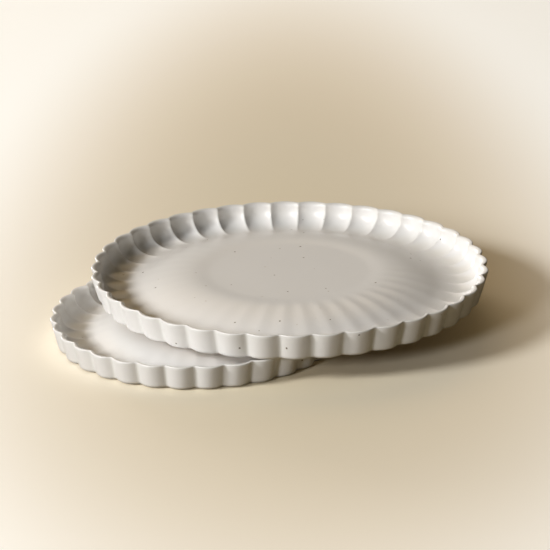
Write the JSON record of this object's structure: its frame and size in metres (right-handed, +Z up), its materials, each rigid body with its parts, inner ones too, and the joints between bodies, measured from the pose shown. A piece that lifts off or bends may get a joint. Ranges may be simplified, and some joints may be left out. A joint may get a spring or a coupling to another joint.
{
  "type": "stacked scalloped plates",
  "caption": "Stacked round stoneware plates with upright fluted walls and gently domed floors. The larger lies off-centre on the rim of the smaller and lifts off.",
  "frame": {"origin": "centre of the small plate's base, on the table", "axes": "+Z up from the table, +X from the small plate's axis towards the large plate's axis"},
  "size_m": [0.2495, 0.2196, 0.0293],
  "materials": {
    "speckled_glaze": "satin"
  },
  "bodies": {
    "lower_plate": {"small_plate": "speckled_glaze"},
    "upper_plate": {"large_plate": "speckled_glaze"}
  },
  "joints": [
    {"name": "lift", "type": "slide", "parent": "lower_plate", "child": "upper_plate", "axis": [0, 0, 1], "range_m": [0, 0.12]}
  ]
}
